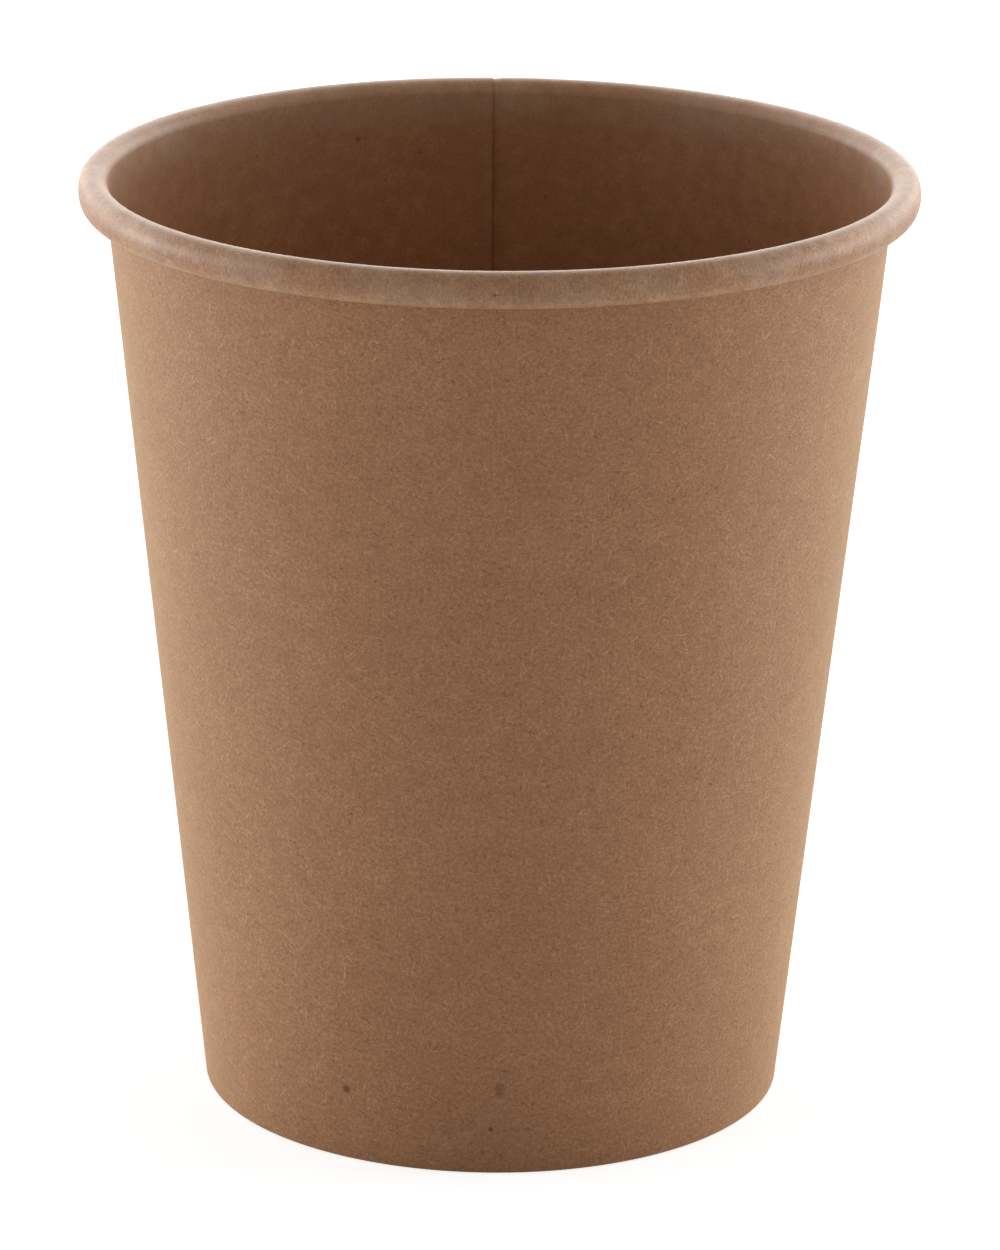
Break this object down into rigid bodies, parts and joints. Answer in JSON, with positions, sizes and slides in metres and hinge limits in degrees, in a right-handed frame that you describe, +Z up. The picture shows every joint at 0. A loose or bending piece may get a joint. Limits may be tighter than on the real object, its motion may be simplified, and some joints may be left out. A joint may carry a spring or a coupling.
{
  "type": "paper coffee cup",
  "caption": "Unprinted kraft paper cup for hot drinks, with a rolled rim, a lapped side seam and a recessed base disc held in a folded hem.",
  "frame": {"origin": "middle of the circle that the cup stands on, at table level", "axes": "+Z up the cup's axis from foot to rim, with the lapped side seam at the back, on +Y"},
  "size_m": [0.08, 0.08, 0.0914],
  "materials": {
    "side_board": "unbleached kraft board, matte outside, thin dull coating inside",
    "base_board": "unbleached kraft board, thin dull coating on its upper face"
  },
  "bodies": {
    "root": {"side_wall": "side_board", "base_disc": "base_board"}
  },
  "joints": []
}
